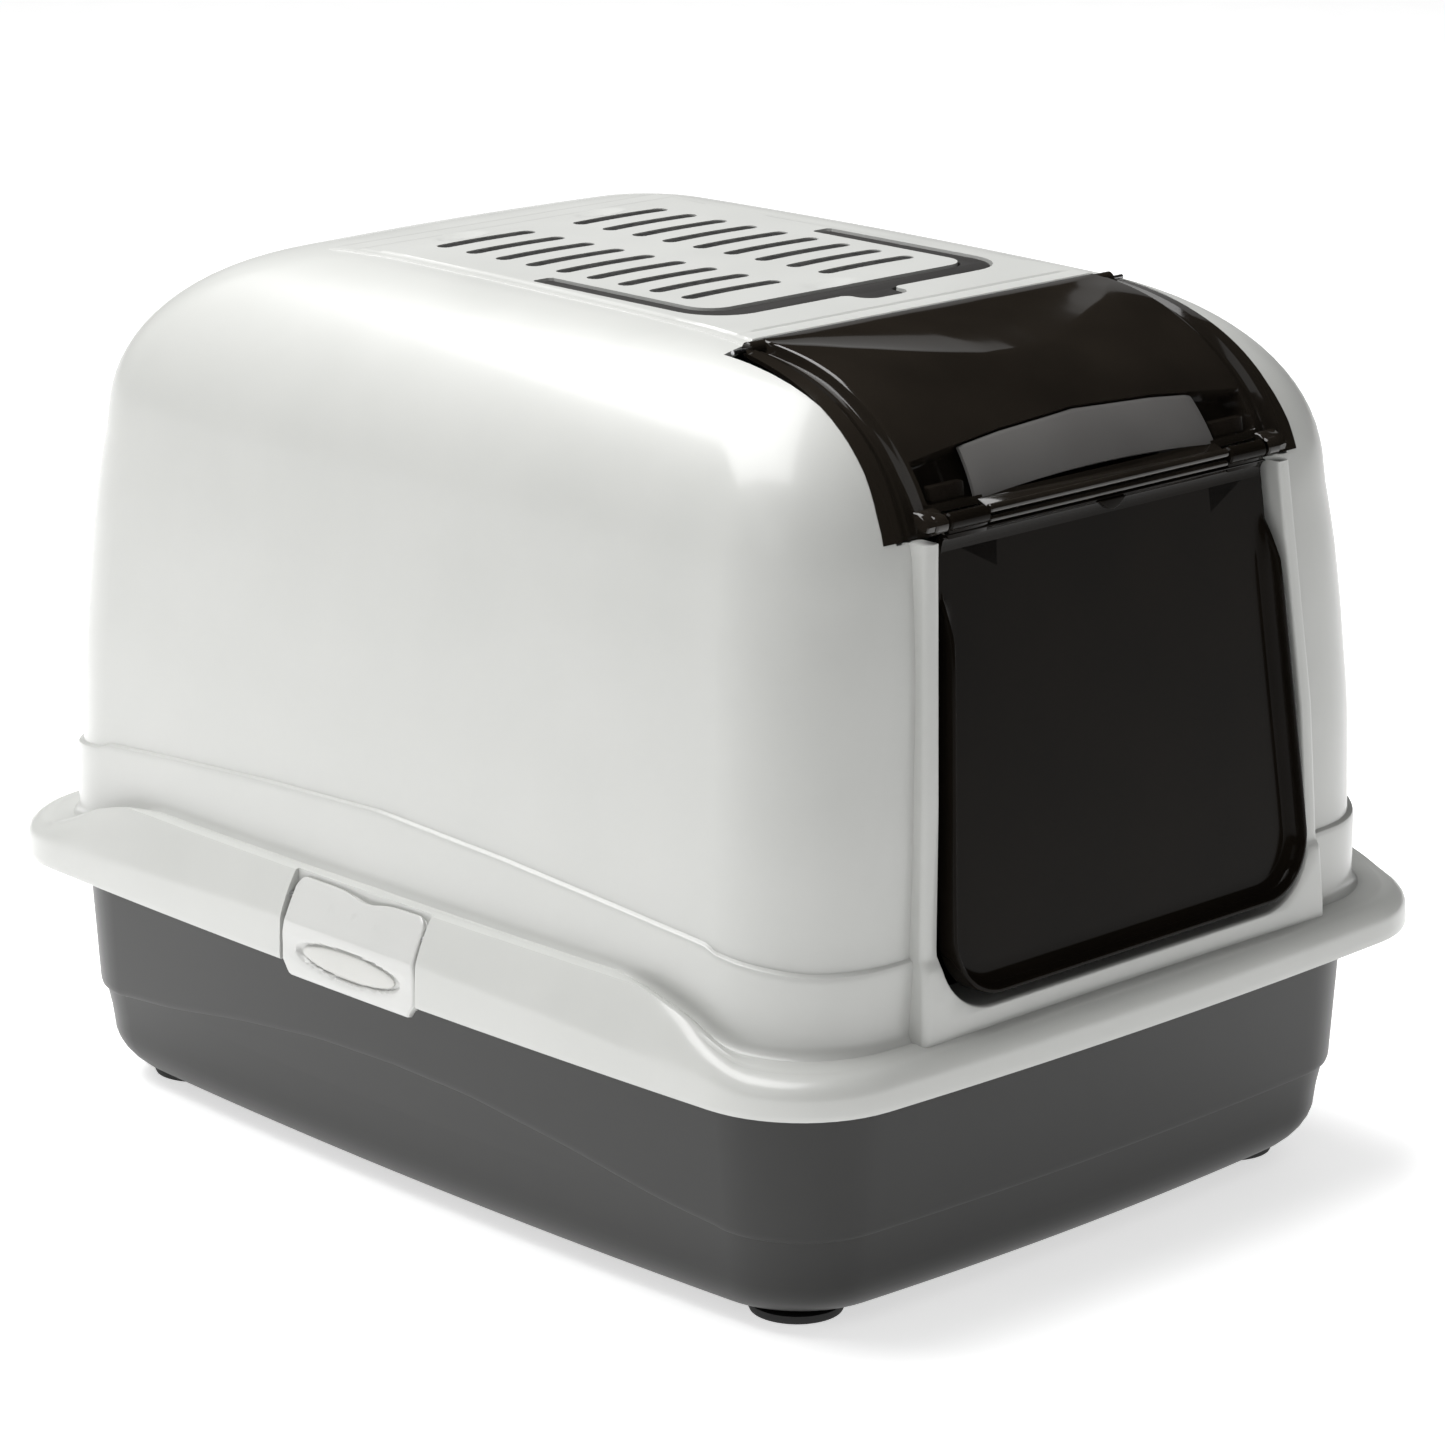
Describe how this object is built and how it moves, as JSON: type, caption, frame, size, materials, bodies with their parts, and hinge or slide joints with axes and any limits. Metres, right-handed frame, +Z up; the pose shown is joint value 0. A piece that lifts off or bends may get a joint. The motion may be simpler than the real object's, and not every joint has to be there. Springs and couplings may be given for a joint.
{
  "type": "cat litter box with hood",
  "caption": "Hooded cat litter box: deep tray, lift-off hood with vent slots and carbon filter, folding carry handle, smoked front visor with a swinging entrance flap and two side clips.",
  "frame": {"origin": "on the floor, under the middle of the box", "axes": "+Z up, entrance faces -Y, the two side clips are on -X and +X"},
  "size_m": [0.5, 0.65, 0.4709],
  "materials": {
    "tray_charcoal": "fine matte texture",
    "foot_rubber": "matte",
    "hood_pearl": "pearl satin",
    "holder_black": "matte",
    "filter_foam": "open foam",
    "handle_black": "satin",
    "smoked_visor": "polished smoked",
    "smoked_flap": "polished smoked",
    "clip_white": "gloss",
    "inlay_grey": "satin",
    "pin_steel": "plain"
  },
  "bodies": {
    "tray": {"litter_tray": "tray_charcoal", "tray_feet": "foot_rubber"},
    "hood": {"hood_shell": "hood_pearl", "filter_holder": "holder_black", "carbon_filter": "filter_foam", "handle_pin_left": "pin_steel", "handle_pin_right": "pin_steel", "visor_pin_left": "pin_steel", "visor_pin_right": "pin_steel", "clip_pins_left": "pin_steel", "clip_pins_right": "pin_steel"},
    "handle": {"carry_handle": "handle_black"},
    "visor": {"visor": "smoked_visor", "flap_pin_left": "pin_steel", "flap_pin_right": "pin_steel"},
    "flap": {"entrance_flap": "smoked_flap"},
    "clip_left": {"side_clip_left": "clip_white", "clip_inlay_left": "inlay_grey"},
    "clip_right": {"side_clip_right": "clip_white", "clip_inlay_right": "inlay_grey"}
  },
  "joints": [
    {"name": "hood_lift", "type": "slide", "parent": "tray", "child": "hood", "axis": [0, 0, 1], "range_m": [0, 0.3]},
    {"name": "handle_fold", "type": "hinge", "parent": "hood", "child": "handle", "pos_m": [0, 0.011, 0.4674], "axis": [-1, 0, 0], "range_deg": [0, 95]},
    {"name": "visor_hinge", "type": "hinge", "parent": "hood", "child": "visor", "pos_m": [0, -0.1665, 0.466], "axis": [-1, 0, 0], "range_deg": [0, 90]},
    {"name": "flap_swing", "type": "hinge", "parent": "visor", "child": "flap", "pos_m": [0, -0.285, 0.399], "axis": [-1, 0, 0], "range_deg": [-75, 75]},
    {"name": "clip_left_hinge", "type": "hinge", "parent": "hood", "child": "clip_left", "pos_m": [-0.241, 0, 0.164], "axis": [0, 1, 0], "range_deg": [0, 60]},
    {"name": "clip_right_hinge", "type": "hinge", "parent": "hood", "child": "clip_right", "pos_m": [0.241, 0, 0.164], "axis": [0, -1, 0], "range_deg": [0, 60]}
  ]
}
